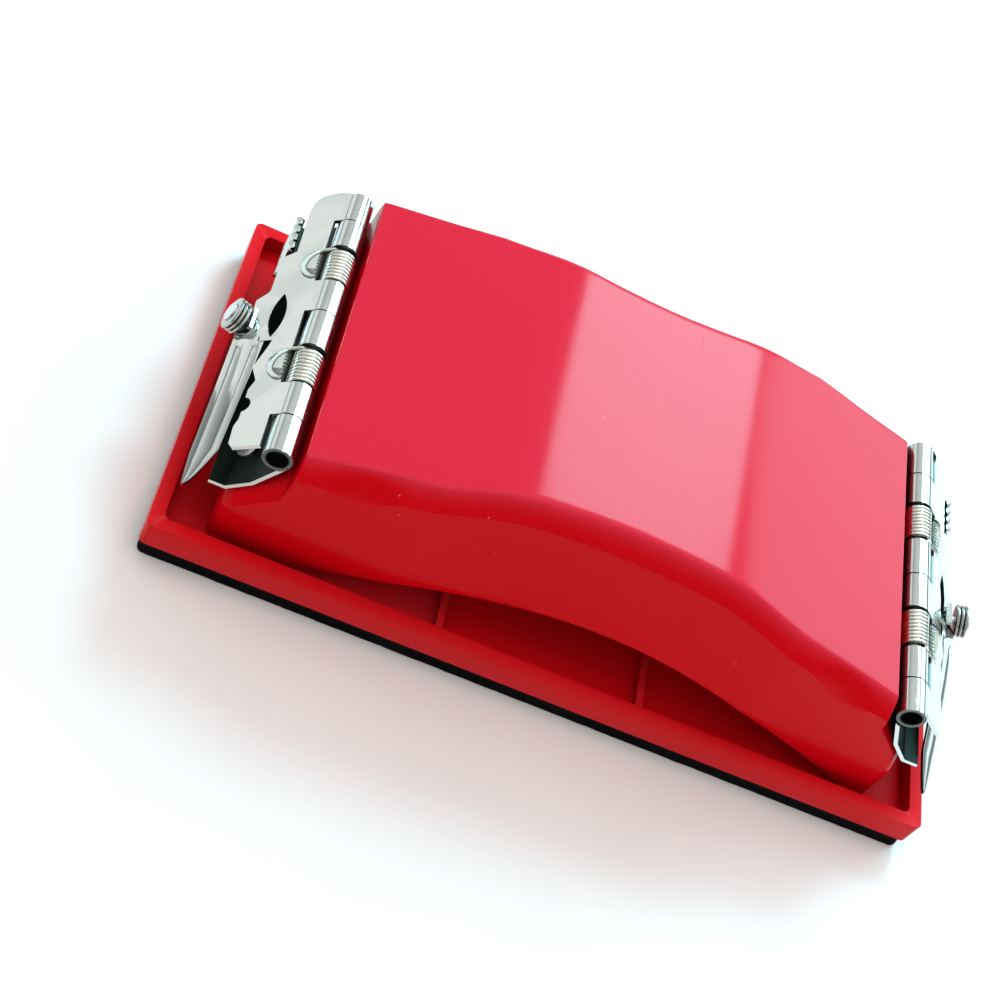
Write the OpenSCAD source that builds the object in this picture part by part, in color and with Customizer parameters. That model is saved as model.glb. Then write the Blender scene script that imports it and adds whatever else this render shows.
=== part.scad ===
// Hand sanding block: red grip on a rimmed base plate, foam pad below, sprung steel clamp at each end.
// Origin: centre of the pad's underside. +X runs along the block, +Y to the back, +Z up.

/* [Base plate and pad] */
// Length of the base plate
base_l = 165; // [160:1:180]
// Width of the base plate
base_w = 85; // [84:1:95]
// Thickness of the foam pad
pad_t = 3.6; // [2:0.2:4]
// Thickness of the base plate's floor
floor_t = 2.2; // [1.8:0.1:3]
// Height of the rim above the floor
rim_h = 3.7; // [2:0.1:4]
// Width of the rim
rim_w = 2.8; // [1.5:0.1:3.5]
// Radius of the base plate's corners
corner_r = 1.4; // [0.5:0.1:3]
// Thickness of the two ribs on the floor
rib_t = 1.5; // [0.8:0.1:2]
// Height of the two ribs on the floor
rib_h = 1.8; // [0.5:0.1:2]

/* [Grip] */
// Overall width of the grip at its ends
grip_w = 74.8; // [70:0.2:76]
// How far each side is drawn in at the middle of the grip
waist = 4; // [0:0.5:6]
// Half length over which the sides are drawn in
waist_x = 36.5; // [25:0.5:50]
// Height of the middle of the grip's top
top_z = 44.6; // [42:0.2:50]
// Height of the ends of the grip's top
top_end_z = 34.4; // [33:0.2:36]
// Half length of the flat middle of the top
flat_x = 17; // [5:1:20]
// Where the falling ends of the top become straight
fall_x = 27; // [22:1:40]
// Rounding between the top and the sides
edge_r = 4; // [2:0.5:5]
// Wall thickness of the hollow grip
wall = 3; // [2:0.2:4]
// Height of the lower edge of the side walls over the finger opening
arch_z = 20.2; // [18:0.2:21]
// Place of the highest point of the finger opening along the block
arch_x = 9; // [0:1:12]
// Left end of the finger opening
arch_left_x = -56.5; // [-58:0.5:-50]
// Right end of the finger opening
arch_right_x = 66; // [56:0.5:67]
// Roundness of the finger opening
arch_power = 1.9; // [1.6:0.1:2.6]

/* [Clamps] */
// Distance of the hinge axis from the end of the base plate
hinge_in = 16.7; // [16.5:0.1:17]
// Height of the hinge axis
hinge_z = 31.9; // [31.5:0.1:32.5]
// Width of the clamp
clamp_w = 71; // [70:0.5:72]
// Thickness of the sheet steel
sheet_t = 0.8; // [0.7:0.05:0.85]
// Outer radius of the rolled knuckles
knuckle_r = 2.9; // [2.8:0.1:3]
// Radius of the hinge rod
rod_r = 1.95; // [1.8:0.05:1.95]
// Slope of the moving leaf when closed, in degrees
leaf_slope = 38.7; // [37:0.1:40]
// How far the tip of the spring finger drops below the leaf
finger_drop = 9; // [4:0.5:9]
// Outer radius of the lift knob
knob_r = 3.5; // [2.8:0.1:3.6]

/* [Hidden] */
$fn = 48;

fit = 0.05;
eps = 0.01;
red = [0.80, 0.05, 0.08];
steel = [0.78, 0.80, 0.79];
spring_steel = [0.85, 0.84, 0.75];

// Levels of the base plate
floor_z = pad_t + floor_t;
rim_z = floor_z + rim_h;
rib_half_gap = 21.5;
rib_shift = -2.1;

// Grip outline: end face, sloping seat, short upright wall, then the arched top
end_x = base_l / 2 - 10.8;
seat_x = base_l / 2 - 20.5;
step_x = base_l / 2 - 20.9;
seat_low_z = 18.8;
seat_high_z = 27.9;
seat_slope = (seat_high_z - seat_low_z) / (end_x - seat_x);
top_fall = (top_z - top_end_z) / ((fall_x - flat_x) / 2 + step_x - fall_x);
corner_round = 2.5;
band_x = 50;
band_half = 9;
band_extra = 2.2;
band_power = 1.6;
band_steps = [0, 0.16, 0.32, 0.48, 0.64, 0.8, 1];
inner_draft = 0.5;

// Knuckle rows: the sheet's knuckles take turns along the hinge, measured from the clamp's middle
row_gap = 0.15;
cut_gap = 0.07;
fixed_rows = [[-35.5, -26.5], [-8.3, 1.1], [19.6, 27.4]];
jaw_rows = [[-26.5, -18.2], [1.1, 9.7], [27.4, 35.5]];
spring_rows = [[-18.2, -8.3], [9.7, 19.6]];
slit_s = 2.7;
clear_r = knuckle_r + 0.45;
bore_r = rod_r + fit;
rod_recess = 3;

// Springs: close-wound rings with two straight legs
spring_turns = 10;
wire_r = 0.45;
coil_r = 2.5;
leg_r = 0.4;
leg_len = 5;
leg_drop = 0.35;

// The sheet runs into its knuckle just inside the knuckle's outer face
roll_r = knuckle_r - 0.06;

// Where the moving leaf's outer face meets the knuckle, measured from the end of the base plate
leaf_u = hinge_in - roll_r * sin(leaf_slope);
leaf_z = hinge_z + roll_r * cos(leaf_slope);

// Lift knob: its axis leans out and up from the tab of the moving leaf
knob_u = 1.6;
knob_z = 25;
knob_tilt = 20;
knob_half = 1.3;
knob_rings = 3;
stud_r = 1.2;
ear_t = 0.9;
ear_gap = 0.85;

// ---------- helpers ----------

// A prism whose outline is drawn in the XZ plane, between two places along Y
module across(y0, y1) {
    translate([0, y1, 0])
        rotate([90, 0, 0])
            linear_extrude(height = y1 - y0)
                children();
}

// A cylinder along Y
module rod_along_y(r, y0, y1, u = 0, z = 0) {
    translate([u, y1, z])
        rotate([90, 0, 0])
            cylinder(r = r, h = y1 - y0);
}

// A plate with rounded upright corners, centred on the origin
module rounded_plate(l, w, h, r) {
    translate([-l / 2 + r, -w / 2, 0])
        cube([l - 2 * r, w, h]);
    translate([-l / 2, -w / 2 + r, 0])
        cube([l, w - 2 * r, h]);
    for (sx = [-1, 1])
        for (sy = [-1, 1])
            translate([sx * (l / 2 - r), sy * (w / 2 - r), 0])
                cylinder(r = r, h = h);
}

// Places a clamp piece, drawn from the left end of the block, at the left (-1) or right (1) end.
// The right hinge is the left one turned half round.
module at_end(side) {
    rotate([0, 0, side < 0 ? 0 : 180])
        translate([-base_l / 2, 0, 0])
            children();
}

// The spring finger, tab and lug always point the same way along the block, so they are mirrored
module handed(side) {
    if (side < 0)
        children();
    else
        mirror([0, 1, 0])
            children();
}

// Lays a shape on the moving leaf: x runs down the leaf from the hinge, z into the sheet
module on_leaf() {
    translate([leaf_u, 0, leaf_z])
        rotate([0, 180 - leaf_slope, 0])
            children();
}

// Puts a shape on the lift knob's axis, z pointing out of the block
module on_knob_axis() {
    translate([knob_u, 0, knob_z])
        rotate([0, knob_tilt - 90, 0])
            children();
}

// ---------- grip outline ----------

// Height of the grip's outer surface at a distance along the block
function top_at(x) =
    let (a = abs(x))
    a <= flat_x ? top_z :
    a <= fall_x ? top_z - top_fall * pow(a - flat_x, 2) / (2 * (fall_x - flat_x)) :
    a <= step_x ? top_end_z + top_fall * (step_x - a) :
    a <= seat_x ? seat_high_z + (top_end_z - seat_high_z) * (seat_x - a) / (seat_x - step_x) :
    seat_low_z + seat_slope * (end_x - a);

// How far each side is drawn in at a distance along the block
function waist_at(x) = abs(x) >= waist_x ? 0 : waist * (1 - pow(abs(x) / waist_x, 1.7));

// Rounding of the upright corners of the end faces
function corner_at(x) =
    let (d = abs(x) - (end_x - corner_round))
    d <= 0 ? 0 : corner_round - sqrt(max(0, pow(corner_round, 2) - d * d));

// Half widths of the outer surface at the top edge and at the foot
function top_half(x) = grip_w / 2 - waist_at(x) - corner_at(x);
function foot_half(x) = grip_w / 2 - waist_at(x) / 2 - corner_at(x);

// Lower edge of the side walls: the floor, or the arch of the finger opening
function foot_at(x) =
    let (reach = x < arch_x ? arch_left_x - arch_x : arch_right_x - arch_x)
    let (share = (x - arch_x) / reach)
    share >= 1 ? floor_z : floor_z + (arch_z - floor_z) * (1 - pow(share, arch_power));

// Depth of the rounded band between top and side, deeper where the seat's edge runs into it
function band_at(x) =
    let (d = abs(abs(x) - band_x) / band_half)
    edge_r + (d >= 1 ? 0 : band_extra * (1 + cos(180 * d)) / 2);

// Underside of the skin, a wall's thickness inside the outer surface
function ceiling_at(x) = min(top_at(x), top_at(abs(x) + wall), top_at(abs(x) - wall)) - wall;

// One cross-section of the hollow grip at x. The cavity is closed where open is 0.
function grip_ring(x, open) =
    let (
        zt = top_at(x),
        zf = foot_at(x),
        ht = top_half(x),
        hf = foot_half(x),
        band = min(band_at(x), zt - zf - 1),
        zc = open == 0 ? zf : ceiling_at(x),
        zi = open == 0 ? zf : max(zf, zc - edge_r / 2)
    )
    concat(
        [[x, -hf, zf]],
        [for (t = band_steps) [x, -(ht - edge_r * t), zt - band * pow(1 - t, band_power)]],
        [for (i = [len(band_steps) - 1:-1:0])
            let (t = band_steps[i])
            [x, ht - edge_r * t, zt - band * pow(1 - t, band_power)]],
        [[x, hf, zf], [x, hf - wall, zf]],
        [[x, ht - wall - inner_draft, zi], [x, ht - wall - edge_r / 2, zc]],
        [[x, -(ht - wall - edge_r / 2), zc], [x, -(ht - wall - inner_draft), zi]],
        [[x, -(hf - wall), zf]]
    );

// Places along the block where a cross-section is drawn
cavity_x = end_x - wall;
half_stations = concat(
    [for (x = [0:4:flat_x - 2]) x],
    [for (x = [flat_x:2.5:step_x - 3]) x],
    [step_x - 1, step_x, seat_x, seat_x + 1, seat_x + 3],
    [cavity_x - 1.5, cavity_x],
    [for (a = [20:14:90]) end_x - corner_round * (1 - sin(a))]
);
stations = concat(
    [for (i = [len(half_stations) - 1:-1:1]) -half_stations[i]],
    half_stations
);

// Joins a list of equal rings into one closed solid. Each end is a fan of triangles from point hub.
module loft(rings, hub) {
    n = len(rings[0]);
    last = len(rings) - 1;
    points = [for (ring = rings) for (p = ring) p];
    sides = [
        for (i = [0:last - 1])
            for (j = [0:n - 1])
                let (k = (j + 1) % n)
                each [
                    [(i + 1) * n + k, (i + 1) * n + j, i * n + j],
                    [i * n + k, (i + 1) * n + k, i * n + j]
                ]
    ];
    caps = [
        for (j = [0:n - 1])
            let (k = (j + 1) % n)
            if (j != hub && k != hub)
                each [[hub, k, j], [last * n + hub, last * n + j, last * n + k]]
    ];
    polyhedron(points = points, faces = concat(sides, caps));
}

// ---------- base ----------

module base_plate() {
    color(red)
        union() {
            difference() {
                translate([0, 0, pad_t])
                    rounded_plate(base_l, base_w, floor_t + rim_h, corner_r);
                translate([0, 0, floor_z])
                    rounded_plate(base_l - 2 * rim_w, base_w - 2 * rim_w, rim_h + 1, corner_r);
            }
            for (side = [-1, 1])
                translate([rib_shift + side * rib_half_gap - rib_t / 2, -base_w / 2 + rim_w / 2, floor_z - eps])
                    cube([rib_t, base_w - rim_w, rib_h + eps]);
        }
}

module grip_shell() {
    color(red)
        loft([for (x = stations) grip_ring(x, abs(x) >= cavity_x ? 0 : 1)], 7);
}

module foam_pad() {
    color([0.08, 0.08, 0.08])
        rounded_plate(base_l, base_w, pad_t, corner_r);
}

// ---------- clamp ----------

// Height of the sloping seat at a distance from the end of the base plate
function seat_at(u) = seat_low_z + seat_slope * (u - 10.8);

leaf_lip_u = 7.4;
leaf_bend_u = 15;
lug_u = 6.9;
lug_z = 28.4;
rivet_u = 12.9;
rivet_places = [-27, 0, 27];

// Cross-section of the fixed leaf: lip, stretch on the seat, then up to the knuckle
module fixed_leaf_outline() {
    bend = [leaf_bend_u, seat_at(leaf_bend_u) + fit];
    reach = norm([hinge_in, hinge_z] - bend);
    rise = atan2(hinge_z - bend[1], hinge_in - bend[0]) - asin(roll_r / reach);
    tangent = bend + sqrt(reach * reach - roll_r * roll_r) * [cos(rise), sin(rise)];
    seat_a = atan(seat_slope);
    low = [10.8, seat_low_z + fit];
    polygon([
        [leaf_lip_u, low[1]],
        low,
        bend,
        tangent,
        tangent + sheet_t * [-sin(rise), cos(rise)],
        bend + sheet_t * [-sin((rise + seat_a) / 2), cos((rise + seat_a) / 2)] / cos((rise - seat_a) / 2),
        low + sheet_t * [-tan(seat_a / 2), 1],
        [leaf_lip_u, low[1] + sheet_t]
    ]);
}

module fixed_leaf(side) {
    color(steel)
        at_end(side)
            difference() {
                union() {
                    difference() {
                        across(-clamp_w / 2, clamp_w / 2)
                            fixed_leaf_outline();
                        for (row = concat(jaw_rows, spring_rows))
                            rod_along_y(clear_r, row[0] - cut_gap, row[1] + cut_gap, hinge_in, hinge_z);
                    }
                    for (row = fixed_rows)
                        rod_along_y(knuckle_r, row[0] + row_gap, row[1] - row_gap, hinge_in, hinge_z);
                    handed(side)
                        ribbed_lug();
                }
                rod_along_y(bore_r, -clamp_w, clamp_w, hinge_in, hinge_z);
                for (y = rivet_places)
                    at_rivet(y)
                        translate([0, 0, -2])
                            cylinder(r = rivet_r + fit, h = 6);
            }
}

// Upturned, ribbed lug at the back end of the fixed leaf's lip, on a foot of its own
module ribbed_lug() {
    ribs = 4;
    rib_r = 0.85;
    pitch = 2.4;
    first = 20.8;
    foot_z = seat_low_z + fit;
    width = pitch * (ribs - 1) + 2;
    translate([lug_u - rib_r, first - 1, foot_z])
        cube([leaf_lip_u + 1 - lug_u + rib_r, width, sheet_t]);
    translate([lug_u - sheet_t / 2, first - 1, foot_z])
        cube([sheet_t, width, lug_z - foot_z - 1]);
    for (i = [0:ribs - 1])
        translate([lug_u, first + i * pitch, foot_z])
            cylinder(r = rib_r, h = lug_z - foot_z);
}

// Puts a shape on a rivet's axis, at right angles to the seat, starting on the seat
module at_rivet(y) {
    translate([rivet_u, y, seat_at(rivet_u)])
        rotate([0, -atan(seat_slope), 0])
            children();
}

rivet_r = 1.2;
rivet_head_r = 2;
rivet_head_h = 0.7;
rivet_depth = 2.5;

module rivets(side) {
    color(steel)
        at_end(side)
            for (y = rivet_places)
                at_rivet(y) {
                    translate([0, 0, -rivet_depth])
                        cylinder(r = rivet_r, h = rivet_depth + fit + sheet_t + eps);
                    translate([0, 0, fit + sheet_t])
                        cylinder(r = rivet_head_r, h = rivet_head_h);
                }
}

module hinge_rod(side) {
    color(steel)
        at_end(side)
            rod_along_y(rod_r, -clamp_w / 2 + rod_recess, clamp_w / 2 - rod_recess, hinge_in, hinge_z);
}

// Rings of the coil lie side by side; one leg rests on the fixed leaf and one under the moving leaf
module spring(side, row) {
    pitch = (spring_rows[row][1] - spring_rows[row][0] - 0.6) / spring_turns;
    mid = (spring_rows[row][0] + spring_rows[row][1]) / 2;
    start = mid - pitch * spring_turns / 2;
    color(spring_steel)
        at_end(side) {
            translate([hinge_in, start, hinge_z])
                rotate([-90, 0, 0])
                    rotate_extrude()
                        coil_outline(pitch);
            translate([hinge_in - coil_r, start + wire_r, hinge_z - leg_len])
                cylinder(r = leg_r, h = leg_len);
            translate([hinge_in - coil_r, start + pitch * spring_turns - wire_r, hinge_z - leg_drop])
                rotate([0, -90 - leaf_slope, 0])
                    cylinder(r = leg_r, h = leg_len);
        }
}

// Half section of the close-wound coil: one flat-sided arc for each turn
module coil_outline(pitch) {
    steps = 4;
    polygon(concat(
        [[coil_r - wire_r, spring_turns * pitch], [coil_r - wire_r, 0]],
        [
            for (i = [0:spring_turns - 1])
                for (k = [0:steps - 1])
                    let (a = 180 * (k + 0.5) / steps)
                    [coil_r + wire_r * sin(a), (i + 0.5 - cos(a) / 2) * pitch]
        ]
    ));
}

// ---------- moving jaw ----------

lip_tip = [7.9, 20.3];
edge_s = 11.4;
tab_s = 13.8;
front_y = -34.2;
lip_end_y = 17.4;
finger_root_y = -4.5;
finger_len_left = 31;
finger_len_right = 34;
finger_out_u = 2.6;
finger_in_u = 7.9;
finger_taper = 1;
bead_h = 0.28;
finger_inset = 0.03;
tip_len = 6;
tip_lean = 1.5;
finger_t = sheet_t / cos(leaf_slope) - 2 * finger_inset;

// The long hole is where two circles overlap
lens_r = 12.5;
lens_offset = 10.9;
notch_place = [9.4, -23.4];
notch_r = 2;

// Outline of the sheet, flattened: x is the distance down from the hinge, y runs along the hinge
module jaw_outline() {
    difference() {
        polygon([
            [0, front_y],
            [8.3, front_y],
            [9.1, -33.2],
            [9.3, -29],
            [8.7, -27],
            [8.9, -19.6],
            [8, -17.2],
            [9.6, -13.5],
            [7.9, -8.5],
            [7.4, -6.4],
            [10.2, -6.4],
            [10.2, finger_root_y],
            [tab_s, finger_root_y],
            [tab_s, 5.4],
            [11.8, 7.2],
            [edge_s, 8],
            [edge_s, lip_end_y + 0.1],
            [8.6, lip_end_y + 1.6],
            [8.8, 31],
            [8.4, 33.6],
            [7.2, 35.2],
            [5.4, 36],
            [2.6, 36.2],
            [0, 35.3]
        ]);
        translate([8.1, 0.5])
            intersection() {
                translate([lens_offset, 0])
                    circle(r = lens_r, $fn = 96);
                translate([-lens_offset, 0])
                    circle(r = lens_r, $fn = 96);
            }
        translate(notch_place)
            circle(r = notch_r);
    }
}

// Cross-section of the spring finger at y: outer edge, two raised beads, inner edge, underside
function finger_ring(y, len) =
    let (
        f = (finger_root_y - y) / len,
        drop = f <= 0 ? 0 : finger_drop * pow(f, 1.5),
        e = (f * len - (len - tip_len)) / tip_len,
        tip = e <= 0 ? 1 : 0.1 + 0.9 * pow(max(0, 1 - e), 0.7),
        mid = (finger_out_u + finger_in_u - finger_taper * max(f, 0)) / 2 - (1 - tip) * tip_lean,
        half = tip * (finger_in_u - finger_taper * max(f, 0) - finger_out_u) / 2,
        lift = f < 0 ? 0 : tip * bead_h,
        crest = leaf_z - finger_inset - drop,
        top = [
            for (q = [[-1, 0], [-0.72, 0], [-0.5, 1], [-0.28, 0], [0.28, 0], [0.5, 1], [0.72, 0], [1, 0]])
                [mid + q[0] * half, q[1] * lift]
        ]
    )
    concat(
        [for (p = top) [p[0], y, crest - (leaf_u - p[0]) * tan(leaf_slope) + p[1]]],
        [
            for (q = [1, -1])
                let (u = mid + q * half)
                [u, y, crest - (leaf_u - u) * tan(leaf_slope) - finger_t]
        ]
    );

module spring_finger(len) {
    rows = 13;
    tip_rows = 7;
    places = concat(
        [finger_root_y + 1.5],
        [for (i = [0:rows]) finger_root_y - i * (len - tip_len) / rows],
        [for (i = [1:tip_rows]) finger_root_y - len + tip_len * pow(1 - i / tip_rows, 1.3)]
    );
    loft([for (y = places) finger_ring(y, len)], 8);
}

// Down-turned lip that grips the paper against the fixed leaf's lip
module jaw_lip() {
    rise = [cos(leaf_slope), sin(leaf_slope)];
    top = [leaf_u, leaf_z] - (edge_s - 0.05) * rise + 0.1 * [rise[1], -rise[0]];
    across(8.1, lip_end_y)
        polygon([top, top + sheet_t * 1.3 * rise, lip_tip + [sheet_t, 0], lip_tip]);
}

// Ear at the end of the tab, square to the knob's axis
module knob_ear() {
    on_knob_axis()
        translate([-2.4, -2.6, -knob_half - ear_gap - ear_t])
            cube([4.8, 5.2, ear_t]);
}

module moving_jaw(side) {
    color(steel)
        at_end(side)
            difference() {
                union() {
                    difference() {
                        handed(side)
                            on_leaf()
                                linear_extrude(height = sheet_t)
                                    jaw_outline();
                        for (row = concat(fixed_rows, spring_rows))
                            on_leaf()
                                translate([-5, row[0] - cut_gap, -1])
                                    cube([5 + slit_s, row[1] - row[0] + 2 * cut_gap, sheet_t + 2]);
                    }
                    for (row = jaw_rows)
                        rod_along_y(knuckle_r, row[0] + row_gap, row[1] - row_gap, hinge_in, hinge_z);
                    for (row = spring_rows)
                        spring_tongue((row[0] + row[1]) / 2);
                    handed(side) {
                        spring_finger(side < 0 ? finger_len_left : finger_len_right);
                        jaw_lip();
                        knob_ear();
                    }
                }
                rod_along_y(bore_r, -clamp_w, clamp_w, hinge_in, hinge_z);
                on_knob_axis()
                    translate([0, 0, -knob_half - 4])
                        cylinder(r = stud_r + fit, h = 4);
            }
}

// Half-round pad pressed up beside each spring
module spring_tongue(y) {
    pad_r = 4;
    pad_h = 0.45;
    on_leaf()
        intersection() {
            translate([slit_s, y, -pad_h])
                cylinder(r = pad_r, h = pad_h + sheet_t / 2);
            translate([slit_s, y - pad_r, -pad_h])
                cube([pad_r, 2 * pad_r, pad_h + sheet_t / 2]);
        }
}

module knob_stud(side) {
    head_r = 2;
    head_h = 0.35;
    color(steel)
        at_end(side)
            handed(side)
                on_knob_axis() {
                    translate([0, 0, -knob_half - ear_gap - ear_t])
                        cylinder(r = stud_r, h = 2 * knob_half + ear_gap + ear_t + eps);
                    translate([0, 0, knob_half])
                        cylinder(r = head_r, h = head_h);
                }
}

// Ribbed knob: one rounded ring for each rib, bored for the stud
module lift_knob(side) {
    pitch = 2 * knob_half / knob_rings;
    steps = 5;
    groove = 0.9;
    color(spring_steel)
        at_end(side)
            handed(side)
                on_knob_axis()
                    translate([0, 0, -knob_half])
                        difference() {
                            rotate_extrude()
                                polygon(concat(
                                    [[0, 2 * knob_half], [0, 0]],
                                    [
                                        for (i = [0:knob_rings - 1])
                                            for (k = [0:steps - 1])
                                                let (a = 180 * (k + 0.5) / steps)
                                                [
                                                    knob_r - groove + groove * sin(a),
                                                    (i + 0.5 - cos(a) / 2) * pitch
                                                ]
                                    ]
                                ));
                            translate([0, 0, -1])
                                cylinder(r = stud_r + fit, h = 2 * knob_half + 2);
                        }
}

// ---------- one line for each piece ----------

base_plate();
grip_shell();
foam_pad();
fixed_leaf(-1);  // left_fixed_leaf
moving_jaw(-1);  // left_moving_jaw
hinge_rod(-1);  // left_hinge_rod
spring(-1, 0);  // left_front_spring
spring(-1, 1);  // left_back_spring
rivets(-1);  // left_rivets
knob_stud(-1);  // left_knob_stud
lift_knob(-1);  // left_lift_knob
fixed_leaf(1);  // right_fixed_leaf
moving_jaw(1);  // right_moving_jaw
hinge_rod(1);  // right_hinge_rod
spring(1, 1);  // right_front_spring
spring(1, 0);  // right_back_spring
rivets(1);  // right_rivets
knob_stud(1);  // right_knob_stud
lift_knob(1);  // right_lift_knob
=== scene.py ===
"""Hand sanding block: red plastic grip on a rimmed plate, foam pad, sprung clamp at each end."""
import math

import bmesh
import bpy
from mathutils import Matrix, Vector, noise


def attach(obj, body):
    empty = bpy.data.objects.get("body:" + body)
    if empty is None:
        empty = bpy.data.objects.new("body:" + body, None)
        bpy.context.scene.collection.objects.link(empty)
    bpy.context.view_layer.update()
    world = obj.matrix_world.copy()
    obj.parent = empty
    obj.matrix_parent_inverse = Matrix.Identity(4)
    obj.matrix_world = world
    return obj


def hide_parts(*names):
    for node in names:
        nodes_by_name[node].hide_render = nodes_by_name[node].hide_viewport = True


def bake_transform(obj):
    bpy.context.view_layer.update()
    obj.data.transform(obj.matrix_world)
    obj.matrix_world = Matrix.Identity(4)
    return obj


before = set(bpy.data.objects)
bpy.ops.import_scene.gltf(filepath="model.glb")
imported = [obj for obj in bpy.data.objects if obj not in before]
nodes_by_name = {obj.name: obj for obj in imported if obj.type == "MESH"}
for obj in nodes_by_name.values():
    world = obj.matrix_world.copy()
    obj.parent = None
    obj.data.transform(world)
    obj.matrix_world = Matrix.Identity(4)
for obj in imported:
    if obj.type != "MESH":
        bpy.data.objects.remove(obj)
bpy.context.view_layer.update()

MM = 0.001
WELD = 2e-6
SIDES = {"left": -1, "right": 1}

# ---------- sizes of the design, in millimetres ----------

BASE_L, BASE_W = 165.0, 85.0
PAD_T, FLOOR_Z = 3.6, 5.8
CORNER_R = 1.4

GRIP_W = 74.8
WAIST, WAIST_X, WAIST_POWER = 4.0, 36.5, 1.7
TOP_Z, TOP_END_Z = 44.6, 34.4
FLAT_X, FALL_X = 17.0, 27.0
EDGE_R, WALL = 4.0, 3.0
CRISP_EDGE_R, CRISP_FROM, CRISP_TO = 1.2, -36.0, -60.0
ARCH_Z, ARCH_X, ARCH_LEFT_X, ARCH_RIGHT_X, ARCH_POWER = 20.2, 9.0, -56.5, 66.0, 1.9
END_X, SEAT_X, STEP_X = 71.7, 62.0, 61.6
SEAT_LOW_Z, SEAT_HIGH_Z = 18.8, 27.9
END_ROUND, END_EDGE_R = 2.5, 0.7
BAND_X, BAND_HALF, BAND_EXTRA, BAND_POWER = 50.0, 9.0, 2.2, 1.6
INNER_DRAFT, FOOT_LIP = 0.5, 0.35

HINGE_IN, HINGE_Z = 16.7, 31.9
LEAF_SLOPE = math.radians(38.7)
SPRING_ROWS = [(-18.2, -8.3), (9.7, 19.6)]
SPRING_TURNS = 10
COIL_R, WIRE_R, LEG_LEN, COIL_SLACK = 2.5, 0.455, 5.0, 0.6
WIND_FROM, WIND_TO = 0.14, 0.86
SLIT_S, TONGUE_R = 2.7, 4.0
KNUCKLE_R, ROLL_R, BORE_R = 2.9, 2.84, 2.0
FIXED_ROWS = [(-35.5, -26.5), (-8.3, 1.1), (19.6, 27.4)]
JAW_ROWS = [(-26.5, -18.2), (1.1, 9.7), (27.4, 35.5)]
ROW_GAP = 0.15
SLEEVE_PROUD, SLEEVE_EDGE, SLEEVE_END = 0.012, 0.12, 0.006
LUG_EDGE_U = 7.4


# ---------- mesh helpers ----------

def new_object(name, verts, faces, smooth_angle=32):
    """A mesh object in metres from points in millimetres, shaded smooth up to an angle."""
    mesh = bpy.data.meshes.new(name)
    mesh.from_pydata([Vector(v) * MM for v in verts], [], faces)
    bm = bmesh.new()
    bm.from_mesh(mesh)
    bmesh.ops.remove_doubles(bm, verts=bm.verts, dist=1e-7)
    bmesh.ops.recalc_face_normals(bm, faces=bm.faces)
    bm.to_mesh(mesh)
    bm.free()
    shade(mesh, smooth_angle)
    obj = bpy.data.objects.new(name, mesh)
    bpy.context.scene.collection.objects.link(obj)
    return obj


def shade(mesh, angle):
    """Smooth shading, sharp where faces meet at more than an angle in degrees."""
    mesh.shade_smooth()
    mesh.set_sharp_from_angle(angle=math.radians(angle))


def bridge_rings(rings, closed_ends=True):
    """Points and faces of a tube through equal rings."""
    n = len(rings[0])
    verts = [p for ring in rings for p in ring]
    faces = []
    for i in range(len(rings) - 1):
        for j in range(n):
            k = (j + 1) % n
            faces.append((i * n + j, i * n + k, (i + 1) * n + k, (i + 1) * n + j))
    if closed_ends:
        faces.append(tuple(range(n)))
        faces.append(tuple(range(len(verts) - n, len(verts))))
    return verts, faces


def tube(path, radius, around=12):
    """Rings of a round wire along a list of points, turned as little as possible from ring to ring."""
    points = [Vector(p) for p in path]
    rings = []
    up = Vector((0, 0, 1))
    for i, p in enumerate(points):
        along = (points[min(i + 1, len(points) - 1)] - points[max(i - 1, 0)]).normalized()
        u = up - along * up.dot(along)
        if u.length < 1e-4:
            u = along.orthogonal()
        u.normalize()
        v = along.cross(u)
        up = u
        rings.append([
            p + (u * math.cos(a) + v * math.sin(a)) * radius
            for a in [2 * math.pi * k / around for k in range(around)]
        ])
    return rings


def linspace(a, b, n):
    """n evenly spaced numbers from a to b."""
    return [a + (b - a) * i / (n - 1) for i in range(n)]


# ---------- grip outline, as designed ----------

TOP_FALL = (TOP_Z - TOP_END_Z) / ((FALL_X - FLAT_X) / 2 + STEP_X - FALL_X)
SEAT_SLOPE = (SEAT_HIGH_Z - SEAT_LOW_Z) / (END_X - SEAT_X)
INNER_LIP = FOOT_LIP * 0.6


def top_at(x):
    """Height of the outline: flat top, fall towards each end, step down, seat for the clamp."""
    a = abs(x)
    if a <= FLAT_X:
        return TOP_Z
    if a <= FALL_X:
        return TOP_Z - TOP_FALL * (a - FLAT_X) ** 2 / (2 * (FALL_X - FLAT_X))
    if a <= STEP_X:
        return TOP_END_Z + TOP_FALL * (STEP_X - a)
    if a <= SEAT_X:
        return SEAT_HIGH_Z + (TOP_END_Z - SEAT_HIGH_Z) * (SEAT_X - a) / (SEAT_X - STEP_X)
    return SEAT_LOW_Z + SEAT_SLOPE * (END_X - a)


def eased_top_at(x, reach=0.35):
    """The outline with its creases slightly rounded, never above the designed one."""
    inside = abs(x) + reach
    mean = sum(top_at(abs(x) + reach * t) for t in linspace(-1, 1, 9)) / 9
    drop = max(0.0, abs(x) - (END_X - END_EDGE_R))
    edge = END_EDGE_R - math.sqrt(max(0.0, END_EDGE_R ** 2 - drop * drop))
    return min(mean if inside < END_X else top_at(x), top_at(x)) - edge


def waist_at(x):
    """How far the grip's top edge is drawn in on each side."""
    return 0.0 if abs(x) >= WAIST_X else WAIST * (1 - (abs(x) / WAIST_X) ** WAIST_POWER)


def corner_at(x):
    """How far the upright corners draw the sides in, near the ends."""
    d = abs(x) - (END_X - END_ROUND)
    return 0.0 if d <= 0 else END_ROUND - math.sqrt(max(0.0, END_ROUND ** 2 - d * d))


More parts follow.
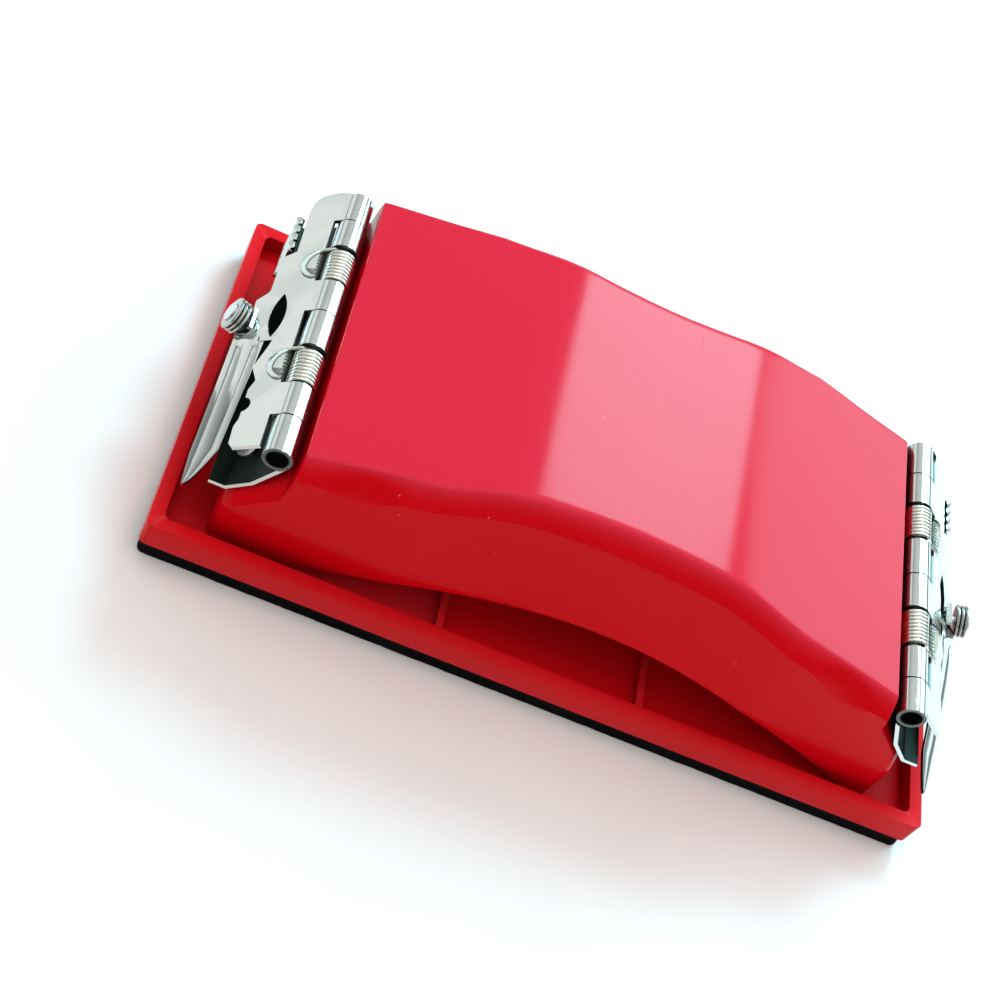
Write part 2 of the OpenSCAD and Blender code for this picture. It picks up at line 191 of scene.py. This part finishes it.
def foot_at(x):
    """Height of the side's lower edge: the finger opening, down to the plate's floor at its ends."""
    reach = (ARCH_LEFT_X if x < ARCH_X else ARCH_RIGHT_X) - ARCH_X
    share = (x - ARCH_X) / reach
    return FLOOR_Z if share >= 1 else FLOOR_Z + (ARCH_Z - FLOOR_Z) * (1 - share ** ARCH_POWER)


def band_at(x):
    """Height of the rounding along the top edge, a little taller before each clamp."""
    d = abs(abs(x) - BAND_X) / BAND_HALF
    return EDGE_R + (0 if d >= 1 else BAND_EXTRA * (1 + math.cos(math.pi * d)) / 2)


def ceiling_at(x):
    """Height of the cavity's ceiling, a wall's thickness under the outline."""
    return min(top_at(x), top_at(abs(x) + WALL), top_at(abs(x) - WALL)) - WALL


def back_edge_at(x):
    """Width of the rounding along the back edge, which gets crisp towards the left clamp."""
    share = min(1, max(0, (x - CRISP_FROM) / (CRISP_TO - CRISP_FROM)))
    return EDGE_R + (CRISP_EDGE_R - EDGE_R) * share


def grip_half_ring(x, hollow, edge):
    """Back half of one section: inner ceiling's middle, down the cavity, up the side, over the top."""
    top, foot = eased_top_at(x), foot_at(x)
    half_top = GRIP_W / 2 - waist_at(x) - corner_at(x)
    half_foot = GRIP_W / 2 - waist_at(x) / 2 - corner_at(x)
    band = min(band_at(x), top - foot - 1)
    ceiling = ceiling_at(x) if hollow else foot
    shoulder = max(foot, ceiling - EDGE_R / 2) if hollow else foot
    inner_foot = half_foot - WALL
    points = [(t * (half_top - WALL - EDGE_R / 2), ceiling) for t in linspace(0.04, 1, 12)]
    points += [
        (
            half_top - WALL - EDGE_R / 2 + (EDGE_R / 2 - INNER_DRAFT) * math.sin(a),
            shoulder + (ceiling - shoulder) * math.cos(a),
        )
        for a in linspace(0.2, math.pi / 2, 6)
    ]
    low_in = (inner_foot, foot)
    points += [
        (
            points[-1][0] + (low_in[0] - points[-1][0]) * t,
            shoulder + (foot + INNER_LIP - shoulder) * t if hollow else foot,
        )
        for t in linspace(0.2, 1, 5)
    ]
    points += [(inner_foot + INNER_LIP, foot), (half_foot - FOOT_LIP, foot)]
    points += [
        (half_foot - FOOT_LIP + FOOT_LIP * math.sin(a), foot + FOOT_LIP - FOOT_LIP * math.cos(a))
        for a in linspace(0.3, math.pi / 2, 4)
    ]
    side_low, side_high = (half_foot, foot + FOOT_LIP), (half_top, top - band)
    points += [
        tuple(side_low[i] + (side_high[i] - side_low[i]) * t for i in range(2))
        for t in linspace(0.08, 0.94, 9)
    ]
    points += [
        (half_top - edge * t, top - band * (1 - t) ** BAND_POWER)
        for t in linspace(0, 1, 18)
    ]
    points += [(t * (half_top - edge), top) for t in linspace(0.97, 0.04, 16)]
    return [(x, y, z) for y, z in points]


def grip_stations():
    """Places along the grip for its sections, closer where the outline turns."""
    cavity = END_X - WALL
    places = set()
    for a in linspace(0, STEP_X - 1, 62):
        places.add(a)
    for a in linspace(STEP_X - 0.9, SEAT_X + 0.9, 19):
        places.add(a)
    for a in linspace(SEAT_X + 1.5, cavity - 0.3, 7):
        places.add(a)
    for a in linspace(cavity, END_X - 0.75, 7):
        places.add(a)
    for a in linspace(0.1, math.pi / 2, 9):
        places.add(END_X - END_EDGE_R + END_EDGE_R * math.sin(a))
    ordered = sorted(places)
    return [-a for a in reversed(ordered) if a > 0] + ordered


def make_grip():
    """The hollow grip. Only its back edge gets crisp, so its halves are drawn one by one."""
    rings = []
    for x in grip_stations():
        hollow = abs(x) < END_X - WALL
        front = grip_half_ring(x, hollow, EDGE_R)
        other = [(px, -py, pz) for px, py, pz in reversed(front)]
        rings.append(grip_half_ring(x, hollow, back_edge_at(x)) + other)
    verts, faces = bridge_rings(rings)
    return new_object("grip_shell_fine", verts, faces, smooth_angle=28)


# ---------- foam pad ----------

def pad_outline(inset, step=1.1):
    """Points round the pad's rounded rectangle, drawn in by inset."""
    hx, hy, r = BASE_L / 2 - inset, BASE_W / 2 - inset, CORNER_R
    points = []
    for sx, sy, start in [(1, 1, 0), (-1, 1, 90), (-1, -1, 180), (1, -1, 270)]:
        for a in linspace(0, 90, 5):
            t = math.radians(start + a)
            points.append((sx * (hx - r) + r * math.cos(t), sy * (hy - r) + r * math.sin(t)))
    dense = []
    for i, p in enumerate(points):
        q = points[(i + 1) % len(points)]
        count = max(1, int(math.dist(p, q) / step))
        dense += [(p[0] + (q[0] - p[0]) * k / count, p[1] + (q[1] - p[1]) * k / count) for k in range(count)]
    return dense


def make_pad():
    """Cut foam: slightly drawn-in, open-celled edges and a faintly uneven underside."""
    outline = pad_outline(0.25)
    levels = [(0.0, 0.28), (0.12, 0.06), (0.5, 0.0), (1.1, 0.12), (1.8, 0.2), (2.5, 0.14), (3.1, 0.02),
              (PAD_T - 0.12, 0.05), (PAD_T - 0.02, 0.3)]
    rings = []
    for z, inset in levels:
        ring = []
        for px, py in outline:
            cell = noise.noise(Vector((px * 0.9, py * 0.9, z * 1.3))) * 0.13
            cell += noise.noise(Vector((px * 0.21, py * 0.21, z * 0.4 + 7))) * 0.08
            shrink = inset + 0.12 + cell
            ring.append((px * (1 - shrink / (BASE_L / 2)), py * (1 - shrink / (BASE_W / 2)), z))
        rings.append(ring)
    for share in (0.96, 0.9):
        rings.insert(0, [(p[0] * share, p[1] * share, 0.02) for p in rings[0]])
    verts, faces = bridge_rings(rings)
    return new_object("foam_pad_cut", verts, faces, smooth_angle=50)


# ---------- springs ----------

def spring_path(side, row):
    """One wire: a leg up from the fixed leaf, the close-wound coil, a leg down under the moving leaf."""
    low, high = SPRING_ROWS[row]
    pitch = (high - low - COIL_SLACK) / SPRING_TURNS
    start = (low + high) / 2 - pitch * SPRING_TURNS / 2 + WIRE_R
    length = pitch * SPRING_TURNS - 2 * WIRE_R
    turn_in = math.pi
    turn_out = math.pi / 2 + LEAF_SLOPE
    total = 2 * math.pi * (SPRING_TURNS - 1) + (turn_in - turn_out)
    points = []
    for t in linspace(LEG_LEN, 0.6, 6):
        points.append((HINGE_IN - COIL_R, start, HINGE_Z - t))
    steps = int(total / (math.pi / 14))
    for k in range(steps + 1):
        a = turn_in - total * k / steps
        along = start + length * k / steps
        points.append((HINGE_IN + COIL_R * math.cos(a), along, HINGE_Z + COIL_R * math.sin(a)))
    last = Vector(points[-1])
    leg = Vector((-math.cos(LEAF_SLOPE), 0, -math.sin(LEAF_SLOPE)))
    for t in linspace(0.5, LEG_LEN, 6):
        points.append(tuple(last + leg * t))
    return [place_clamp(p, side) for p in points]


def place_clamp(p, side):
    """From the left end's own axes to the row frame. The right clamp is the left one turned half round."""
    x, y, z = p[0] - BASE_L / 2, p[1], p[2]
    return (x, y, z) if side < 0 else (-x, -y, z)


def make_spring(name, side, row):
    rings = tube(spring_path(side, row), WIRE_R)
    verts, faces = bridge_rings(rings)
    return new_object(name, verts, faces, smooth_angle=60)


# ---------- pressed tongues of the moving jaw ----------

LEAF_OUT = (-math.sin(LEAF_SLOPE), 0, math.cos(LEAF_SLOPE))
LEAF_DOWN = (-math.cos(LEAF_SLOPE), 0, -math.sin(LEAF_SLOPE))
LEAF_START = (HINGE_IN + ROLL_R * LEAF_OUT[0], 0, HINGE_Z + ROLL_R * LEAF_OUT[2])


def on_leaf(down, y, out):
    """A point on the left moving leaf: how far down from the hinge, along it, and out of the sheet."""
    return (
        LEAF_START[0] + LEAF_DOWN[0] * down + LEAF_OUT[0] * out,
        y,
        LEAF_START[2] + LEAF_DOWN[2] * down + LEAF_OUT[2] * out,
    )


def tongue(side, y, arcs=20, steps=10, height=1.3):
    """Rings of a half dome pressed up beside a spring and open towards it."""
    rings = []
    for a in linspace(0, math.pi, arcs):
        ring = [
            on_leaf(
                SLIT_S + TONGUE_R * t * math.sin(a),
                y + TONGUE_R * t * math.cos(a),
                0.02 + height * math.sqrt(max(0.0, 1 - t ** 2.2)),
            )
            for t in linspace(0, 1, steps)
        ]
        ring.append(on_leaf(SLIT_S + TONGUE_R * math.sin(a), y + TONGUE_R * math.cos(a), -0.3))
        ring.append(on_leaf(SLIT_S, y, -0.3))
        rings.append([place_clamp(p, side) for p in ring])
    return rings


def knuckle(side, row, around=120):
    """Rings of a rolled knuckle: bore, then the round outside, a hair proud of the designed one."""
    low, high = row[0] + ROW_GAP, row[1] - ROW_GAP
    outer, edge = KNUCKLE_R + SLEEVE_PROUD, SLEEVE_EDGE
    section = [(BORE_R, high), (BORE_R, low), (outer - edge, low - SLEEVE_END)]
    section += [
        (outer - edge + edge * math.sin(a), low + edge - edge * math.cos(a))
        for a in linspace(0.3, math.pi / 2, 4)
    ]
    section += [
        (outer - edge + edge * math.cos(a), high - edge + edge * math.sin(a))
        for a in linspace(0, math.pi / 2 - 0.3, 4)
    ]
    section.append((outer - edge, high + SLEEVE_END))
    rings = []
    for k in range(around + 1):
        a = 2 * math.pi * k / around
        rings.append([
            place_clamp((HINGE_IN + r * math.cos(a), y, HINGE_Z + r * math.sin(a)), side) for r, y in section
        ])
    return rings


def joined(name, source, parts, smooth_angle=30):
    """The designed node's own mesh with finer closed parts set into it, as one object."""
    bm = bmesh.new()
    bm.from_mesh(source.data)
    bmesh.ops.transform(bm, matrix=source.matrix_world, verts=bm.verts)
    bmesh.ops.remove_doubles(bm, verts=bm.verts, dist=WELD)
    for rings, closed in parts:
        verts, faces = bridge_rings(rings, closed)
        part = bpy.data.meshes.new("part")
        part.from_pydata([Vector(v) * MM for v in verts], [], faces)
        fine = bmesh.new()
        fine.from_mesh(part)
        bmesh.ops.remove_doubles(fine, verts=fine.verts, dist=1e-6)
        bmesh.ops.recalc_face_normals(fine, faces=fine.faces)
        fine.to_mesh(part)
        fine.free()
        bm.from_mesh(part)
        bpy.data.meshes.remove(part)
    mesh = bpy.data.meshes.new(name)
    bm.to_mesh(mesh)
    bm.free()
    shade(mesh, smooth_angle)
    obj = bpy.data.objects.new(name, mesh)
    bpy.context.scene.collection.objects.link(obj)
    return obj


def make_jaw(end, side):
    """The moving jaw with domed tongues and round knuckles."""
    parts = [(tongue(side, (low + high) / 2), True) for low, high in SPRING_ROWS]
    parts += [(knuckle(side, row), False) for row in JAW_ROWS]
    return joined(f"{end}_jaw_sheet", nodes_by_name[f"{end}_moving_jaw"], parts)


def make_fixed_leaf(end, side):
    """The fixed leaf with round knuckles."""
    parts = [(knuckle(side, row), False) for row in FIXED_ROWS]
    return joined(f"{end}_fixed_sheet", nodes_by_name[f"{end}_fixed_leaf"], parts)


# ---------- materials ----------

class Shader:
    """A node material under construction, fed from object coordinates in metres."""

    def __init__(self, name):
        self.material = bpy.data.materials.new(name)
        self.material.use_nodes = True
        self.tree = self.material.node_tree
        self.bsdf = self.tree.nodes["Principled BSDF"]
        self.coords = self.tree.nodes.new("ShaderNodeTexCoord").outputs["Object"]

    def set(self, **values):
        for key, value in values.items():
            self.bsdf.inputs[key.replace("_", " ")].default_value = value

    def link(self, a, b):
        self.tree.links.new(a, b)

    def node(self, kind, **inputs):
        made = self.tree.nodes.new(kind)
        for key, value in inputs.items():
            made.inputs[key].default_value = value
        return made

    def stretched(self, scale, turn=(0, 0, 0)):
        mapping = self.tree.nodes.new("ShaderNodeMapping")
        mapping.inputs["Scale"].default_value = scale
        mapping.inputs["Rotation"].default_value = turn
        self.link(self.coords, mapping.inputs["Vector"])
        return mapping.outputs["Vector"]

    def noise(self, scale, detail=3.0, rough=0.5, vector=None):
        made = self.node("ShaderNodeTexNoise", Scale=scale, Detail=detail, Roughness=rough)
        self.link(vector or self.coords, made.inputs["Vector"])
        return made.outputs["Fac"]

    def cells(self, scale):
        """Distance to the nearest of a field of random points."""
        made = self.node("ShaderNodeTexVoronoi", Scale=scale)
        self.link(self.coords, made.inputs["Vector"])
        return made.outputs["Distance"]

    def ramp(self, value, *stops):
        """Maps a value to colours or greys: stops are (position, colour or grey)."""
        made = self.tree.nodes.new("ShaderNodeValToRGB")
        ramp = made.color_ramp
        while len(ramp.elements) < len(stops):
            ramp.elements.new(0.5)
        for element, (position, colour) in zip(ramp.elements, stops):
            element.position = position
            grey = isinstance(colour, (int, float))
            element.color = (colour,) * 3 + (1,) if grey else tuple(colour) + (1,)
        self.link(value, made.inputs["Fac"])
        return made.outputs["Color"]

    def mix(self, factor, a, b):
        """From a to b as the factor goes from 0 to 1. Each is a socket, a grey or a colour."""
        made = self.tree.nodes.new("ShaderNodeMix")
        made.data_type = "RGBA"
        for socket, value in ((made.inputs["Factor"], factor), (made.inputs["A"], a), (made.inputs["B"], b)):
            if hasattr(value, "is_linked"):
                self.link(value, socket)
            elif isinstance(value, (int, float)) and socket.type == "RGBA":
                socket.default_value = (value, value, value, 1)
            elif isinstance(value, (int, float)):
                socket.default_value = value
            else:
                socket.default_value = tuple(value) + (1,)
        return made.outputs["Result"]

    def split(self, vector):
        made = self.tree.nodes.new("ShaderNodeSeparateXYZ")
        self.link(vector, made.inputs["Vector"])
        return made.outputs["X"], made.outputs["Y"], made.outputs["Z"]

    def math(self, kind, a, b):
        if kind == "LENGTH":
            squares = [self.math("MULTIPLY", v, v) for v in (a, b)]
            return self.math("POWER", self.math("ADD", *squares), 0.5)
        made = self.tree.nodes.new("ShaderNodeMath")
        made.operation = kind
        for socket, value in ((made.inputs[0], a), (made.inputs[1], b)):
            if hasattr(value, "is_linked"):
                self.link(value, socket)
            else:
                socket.default_value = value
        return made.outputs[0]

    def edges(self, low, high):
        """Rises from 0 to 1 on outward edges."""
        geometry = self.tree.nodes.new("ShaderNodeNewGeometry")
        return self.ramp(geometry.outputs["Pointiness"], (low, 0.0), (high, 1.0))

    def painted_shade_ao(self, reach, low, high):
        """Rises from 0 in the open to 1 deep in gaps and under the leaves: a mask for painted shade, the dark
        colour that stands in for the shade there.
        """
        made = self.node("ShaderNodeAmbientOcclusion", Distance=reach)
        made.samples = 8
        return self.ramp(made.outputs["AO"], (low, 1.0), (high, 0.0))

    def bump(self, *layers):
        """Stacks bump layers, each (height, strength, depth in metres)."""
        normal = None
        for height, strength, depth in layers:
            made = self.tree.nodes.new("ShaderNodeBump")
            made.inputs["Strength"].default_value = strength
            made.inputs["Distance"].default_value = depth
            self.link(height, made.inputs["Height"])
            if normal:
                self.link(normal, made.inputs["Normal"])
            normal = made.outputs["Normal"]
        self.link(normal, self.bsdf.inputs["Normal"])

    def colour(self, socket):
        self.link(socket, self.bsdf.inputs["Base Color"])

    def roughness(self, socket):
        self.link(socket, self.bsdf.inputs["Roughness"])


def red_plastic(name, bright, deep, sheen_top_colour, gloss):
    """Moulded gloss plastic: cloudy pigment, fine mould texture, hairline scratches and dust specks.

    Worn edges are paler. Upward faces are painted paler, a painted sheen of the lamps above, and gaps are
    darkened with painted shade.
    """
    s = Shader(name)
    facing = s.split(s.tree.nodes.new("ShaderNodeTexCoord").outputs["Normal"])
    # painted sheen: faces that look up are blended towards a paler colour, as if lit from above
    upward = s.ramp(facing[2], (0.6, 0.0), (0.88, 1.0))
    cloud = s.mix(upward, s.ramp(s.noise(22, 4, 0.6), (0.3, deep), (0.7, bright)), sheen_top_colour)
    long_a = s.noise(38, 2, 0.5, s.stretched((1, 60, 6), (0.2, 0.1, 0.35)))
    long_b = s.noise(30, 2, 0.5, s.stretched((70, 1, 8), (0.1, 0.3, 1.1)))
    lines_a, lines_b = s.ramp(long_a, (0.735, 0.0), (0.76, 1.0)), s.ramp(long_b, (0.74, 0.0), (0.765, 1.0))
    scratch = s.math("MAXIMUM", lines_a, lines_b)
    speck = s.ramp(s.cells(260), (0.03, 1.0), (0.06, 0.0))
    rare = s.ramp(s.noise(48, 1), (0.6, 0.0), (0.66, 1.0))
    dust = s.math("MULTIPLY", speck, rare)
    worn = s.mix(s.math("MULTIPLY", s.edges(0.52, 0.62), 0.35), cloud, (0.83, 0.06, 0.08))
    worn = s.mix(s.math("MULTIPLY", scratch, 0.05), worn, (0.86, 0.2, 0.22))
    worn = s.mix(s.math("MULTIPLY", dust, 0.3), worn, (0.85, 0.42, 0.42))
    # painted shade: gaps and recesses of the red plastic are darkened towards a deep red
    s.colour(s.mix(s.math("MULTIPLY", s.painted_shade_ao(0.02, 0.1, 0.75), 0.6), worn, tuple(0.4 * c for c in deep)))
    smear = s.ramp(s.noise(14, 5, 0.6), (0.3, gloss), (0.75, gloss + 0.09))
    rough = s.mix(s.math("MULTIPLY", scratch, 0.5), smear, 0.5)
    s.roughness(s.mix(dust, rough, 0.6))
    s.bump(
        (s.noise(1400, 2), 0.12, 0.00002),
        (s.noise(55, 2), 0.16, 0.0001),
        (scratch, -0.1, 0.00002),
        (dust, 0.35, 0.00005),
    )
    s.set(IOR=1.5, Specular_IOR_Level=0.08)
    return s.material


def chrome(name, tint=(0.66, 0.72, 0.69), gloss=0.07, shade_inside=False):
    """Bright plating over pressed sheet, with faint press waves and polishing lines.

    The bores, the sides that face into the clamp, the knuckle ends and any deep gap are painted near-black as
    painted shade and dark reflections, and are rougher there.
    """
    s = Shader(name)
    stain = s.ramp(s.noise(140, 4, 0.6), (0.35, tuple(0.94 * c for c in tint)), (0.65, tint))
    clean = s.mix(s.math("MULTIPLY", s.edges(0.53, 0.6), 0.3), stain, (0.93, 0.94, 0.91))
    spot = s.split(s.coords)
    across_x = s.math("ABSOLUTE", spot[0], 0)
    from_axis = s.math("LENGTH", s.math("SUBTRACT", across_x, (BASE_L / 2 - HINGE_IN) * MM),
                       s.math("SUBTRACT", spot[2], HINGE_Z * MM))
    bore = s.math("LESS_THAN", from_axis, (BORE_R + 0.25) * MM)
    off_knuckle = s.math("GREATER_THAN", from_axis, (KNUCKLE_R + 0.06) * MM)
    facing = s.split(s.tree.nodes.new("ShaderNodeTexCoord").outputs["Normal"])
    # painted shade: choose the inward faces that are painted dark
    if shade_inside:
        flat_side = s.math("LESS_THAN", s.math("ABSOLUTE", facing[1], 0), 0.5)
        behind_lug = s.math("LESS_THAN", across_x, (BASE_L / 2 - LUG_EDGE_U + 0.1) * MM)
        inside = s.math("MULTIPLY", flat_side, behind_lug)
    else:
        outward = s.math("MULTIPLY", facing[0], s.math("SIGN", spot[0], 0))
        on_lip = s.math("GREATER_THAN", across_x, (BASE_L / 2 - LUG_EDGE_U - 1) * MM)
        lip_inside = s.math("MULTIPLY", s.math("LESS_THAN", outward, -0.6), on_lip)
        inside = s.math("MAXIMUM", s.math("LESS_THAN", facing[2], -0.3), lip_inside)
    knuckle_end = s.math("MULTIPLY", s.math("GREATER_THAN", s.math("ABSOLUTE", facing[1], 0), 0.8),
                         s.math("LESS_THAN", from_axis, (KNUCKLE_R + 0.05) * MM))
    # painted shade: bores, inward faces, knuckle ends and deep gaps are painted near-black
    dark = s.math("MAXIMUM", bore, s.math("MULTIPLY", inside, off_knuckle))
    dark = s.math("MAXIMUM", dark, s.math("MULTIPLY", knuckle_end, 0.8))
    dark = s.math("MAXIMUM", dark, s.painted_shade_ao(0.004, 0.25, 0.7))
    s.colour(s.mix(dark, clean, (0.016, 0.024, 0.02)))
    lines = s.noise(420, 3, 0.6, s.stretched((0.25, 5, 5)))
    rub = s.ramp(s.noise(260, 3), (0.55, gloss), (0.8, gloss + 0.12))
    plated = s.mix(0.25, rub, s.ramp(lines, (0.3, gloss), (0.7, gloss + 0.08)))
    s.roughness(s.mix(dark, plated, 0.5))
    s.bump((s.noise(110, 2), 0.05, 0.0002), (lines, 0.02, 0.00002))
    s.set(Metallic=1.0, IOR=2.2)
    return s.material


def brushed(name, tint, gloss, stretch):
    """Drawn or turned steel: fine lines along one direction, faint dulling."""
    s = Shader(name)
    lines = s.noise(700, 4, 0.65, s.stretched(stretch))
    s.colour(s.mix(s.ramp(lines, (0.3, 0.0), (0.7, 1.0)), tuple(0.84 * c for c in tint), tint))
    s.roughness(s.ramp(s.noise(500, 3), (0.3, gloss), (0.75, gloss + 0.14)))
    s.bump((lines, 0.12, 0.00003))
    s.set(Metallic=1.0, IOR=2.4)
    return s.material


def nickel(name, tint=(0.86, 0.86, 0.77)):
    """Nickel plating: slightly warm, satin, with drawing marks, and painted shade between the turns or rings.
    """
    s = Shader(name)
    bare = s.ramp(s.noise(600, 4, 0.6), (0.3, tuple(0.87 * c for c in tint)), (0.7, tint))
    # painted shade: darker where the turns or rings crowd together
    s.colour(s.mix(s.painted_shade_ao(0.0015, 0.2, 0.6), bare, (0.09, 0.085, 0.07)))
    s.roughness(s.ramp(s.noise(900, 3), (0.3, 0.14), (0.75, 0.3)))
    s.bump((s.noise(2500, 2, 0.6, s.stretched((4, 0.4, 4))), 0.12, 0.00003))
    s.set(Metallic=1.0, IOR=2.3)
    return s.material


def foam(name):
    """Black closed-cell foam: matt, with cut cells."""
    s = Shader(name)
    cells = s.cells(1500)
    s.colour(s.mix(s.ramp(cells, (0.1, 0.0), (0.7, 1.0)), (0.001, 0.001, 0.001), s.ramp(
        s.noise(90, 4), (0.3, (0.002, 0.002, 0.002)), (0.7, (0.006, 0.006, 0.006)))))
    s.roughness(s.ramp(s.noise(300, 3), (0.3, 0.82), (0.7, 0.95)))
    s.bump((cells, 0.6, 0.00025), (s.noise(120, 3), 0.3, 0.0004))
    s.set(IOR=1.4, Specular_IOR_Level=0.12)
    return s.material


def floor_paint(name):
    """Pale studio paper with a barely visible grain."""
    s = Shader(name)
    s.colour(s.ramp(s.noise(30, 4), (0.3, (0.91, 0.885, 0.86)), (0.7, (0.94, 0.915, 0.89))))
    s.roughness(s.ramp(s.noise(200, 3), (0.3, 0.75), (0.7, 0.9)))
    s.bump((s.noise(900, 2), 0.05, 0.0001))
    return s.material


def assign(obj, material):
    obj.data.materials.clear()
    obj.data.materials.append(material)


# ---------- pieces ----------

MATERIALS = {
    # the fourth colour of each red is the painted sheen on upward faces
    "grip": red_plastic("red_grip", (0.73, 0.0015, 0.008), (0.68, 0.001, 0.006), (0.69, 0.02, 0.046), 0.13),
    "base": red_plastic("red_base", (0.72, 0.0015, 0.005), (0.66, 0.001, 0.004), (0.72, 0.004, 0.01), 0.16),
    "foam": foam("black_foam"),
    "chrome": chrome("bright_chrome"),
    "chrome_inner": chrome("fixed_leaf_chrome", shade_inside=True),
    "rod": brushed("turned_rod", (0.72, 0.73, 0.72), 0.18, (6, 0.4, 6)),
    "rivet": brushed("rivet_steel", (0.7, 0.71, 0.7), 0.22, (3, 3, 3)),
    "nickel": nickel("nickel_wire"),
    "knob": nickel("nickel_knob", (0.5, 0.52, 0.49)),
}

grip = make_grip()
assign(grip, MATERIALS["grip"])
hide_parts("grip_shell")
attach(grip, "block")

pad = make_pad()
assign(pad, MATERIALS["foam"])
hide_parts("foam_pad")
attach(pad, "block")

for end, sign in SIDES.items():
    for place, row in (("front", 0 if sign < 0 else 1), ("back", 1 if sign < 0 else 0)):
        spring = make_spring(f"{end}_{place}_spring_wire", sign, row)
        assign(spring, MATERIALS["nickel"])
        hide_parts(f"{end}_{place}_spring")
        low, high = (v * MM * (1 if sign < 0 else -1) for v in SPRING_ROWS[row])
        axis_x = sign * (BASE_L / 2 - HINGE_IN) * MM
        ends = [(axis_x, low + (high - low) * share, HINGE_Z * MM) for share in (WIND_FROM, WIND_TO)]
        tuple(ends[0])
        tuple(ends[1])
        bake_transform(spring)

# CAD nodes that keep their shape: welded, edges broken by a small bevel, smooth where they are round
KEPT = {
    "base_plate": ("base", 0.28),
    "hinge_rod": ("rod", 0.2),
    "rivets": ("rivet", 0.2),
    "knob_stud": ("rod", 0.12),
    "lift_knob": ("knob", 0.1),
}


def finish_kept(obj, material, width):
    """Material, weld, small bevel and even shading for a CAD mesh or a piece made from one."""
    assign(obj, MATERIALS[material])
    weld = obj.modifiers.new("weld", "WELD")
    weld.merge_threshold = WELD
    bevel = obj.modifiers.new("broken_edges", "BEVEL")
    bevel.width = width * MM
    bevel.segments = 3
    bevel.limit_method = "ANGLE"
    bevel.angle_limit = math.radians(35)
    bevel.use_clamp_overlap = True
    even = obj.modifiers.new("even_faces", "WEIGHTED_NORMAL")
    even.weight = 100
    even.keep_sharp = True


for end, sign in SIDES.items():
    for make, node, body, finish in (
        (make_jaw, "moving_jaw", f"{end}_jaw", "chrome"),
        (make_fixed_leaf, "fixed_leaf", "block", "chrome_inner"),
    ):
        leaf = make(end, sign)
        finish_kept(leaf, finish, 0.1)
        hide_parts(f"{end}_{node}")
        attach(leaf, body)

for stem, (material, width) in KEPT.items():
    for name in ([stem] if stem in nodes_by_name else [f"{end}_{stem}" for end in SIDES]):
        finish_kept(nodes_by_name[name], material, width)

# ---------- floor, light and camera ----------

FLOOR_HALF = 4000.0
floor = new_object(
    "studio_floor",
    [(sx * FLOOR_HALF, sy * FLOOR_HALF, 0) for sx, sy in ((-1, -1), (1, -1), (1, 1), (-1, 1))],
    [(0, 1, 2, 3)],
)
assign(floor, floor_paint("studio_paper"))

CENTRE = Vector((0, 0, 0.03))


def panel(name, azimuth, elevation, distance, width, height, power, colour=(1, 1, 1)):
    """An area light that faces the block. Azimuth is measured from the back (+Y) towards the right (+X)."""
    az, el = math.radians(azimuth), math.radians(elevation)
    direction = Vector((math.sin(az) * math.cos(el), math.cos(az) * math.cos(el), math.sin(el)))
    data = bpy.data.lights.new(name, "AREA")
    data.shape = "RECTANGLE"
    data.size, data.size_y = width, height
    data.energy = power
    data.color = colour
    lamp = bpy.data.objects.new(name, data)
    lamp.location = CENTRE + direction * distance
    lamp.rotation_euler = direction.to_track_quat("Z", "Y").to_euler()
    bpy.context.scene.collection.objects.link(lamp)


COOL, WARM = (0.47, 0.85, 1.0), (1.0, 0.95, 0.92)
panel("back_panel", 19.5, 42, 1.0, 0.30, 0.30, 7.0, COOL)
panel("right_panel", 49, 26, 1.0, 0.52, 0.40, 4.1, COOL)
panel("left_card", -48, 14, 1.2, 0.9, 0.42, 0.8)
panel("overhead", -20, 82, 1.3, 1.1, 1.1, 4.2, WARM)


def studio_world():
    """Even pale surroundings, darker low down so that plated metal has something dark to show."""
    world = bpy.data.worlds.new("studio")
    bpy.context.scene.world = world
    world.use_nodes = True
    tree = world.node_tree
    background = tree.nodes["Background"]
    coords = tree.nodes.new("ShaderNodeTexCoord")
    split = tree.nodes.new("ShaderNodeSeparateXYZ")
    tree.links.new(coords.outputs["Generated"], split.inputs["Vector"])
    ramp = tree.nodes.new("ShaderNodeValToRGB")
    stops = [(0.0, 0.3), (0.15, 0.26), (0.42, 0.5), (0.68, 0.86), (1.0, 0.92)]
    while len(ramp.color_ramp.elements) < len(stops):
        ramp.color_ramp.elements.new(0.5)
    for element, (position, grey) in zip(ramp.color_ramp.elements, stops):
        element.position = position
        element.color = (grey, grey, grey, 1)
    tree.links.new(split.outputs["Z"], ramp.inputs["Fac"])
    tree.links.new(ramp.outputs["Color"], background.inputs["Color"])
    background.inputs["Strength"].default_value = 0.9


studio_world()
bpy.context.scene.view_settings.view_transform = "Standard"

RIGHT = Vector((0.90467, 0.16176, 0.39422))
UP = Vector((-0.37459, 0.74292, 0.55476))
BACK = Vector((-0.20313, -0.64954, 0.73269))
camera_data = bpy.data.cameras.new("camera")
camera_data.lens = 70.12
camera_data.sensor_width = 36
camera_data.clip_start = 0.01
camera = bpy.data.objects.new("camera", camera_data)
turn = Matrix((RIGHT, UP, BACK)).transposed().to_4x4()
camera.matrix_world = Matrix.Translation((-0.0978, -0.260456, 0.298763)) @ turn
bpy.context.scene.collection.objects.link(camera)
bpy.context.scene.camera = camera
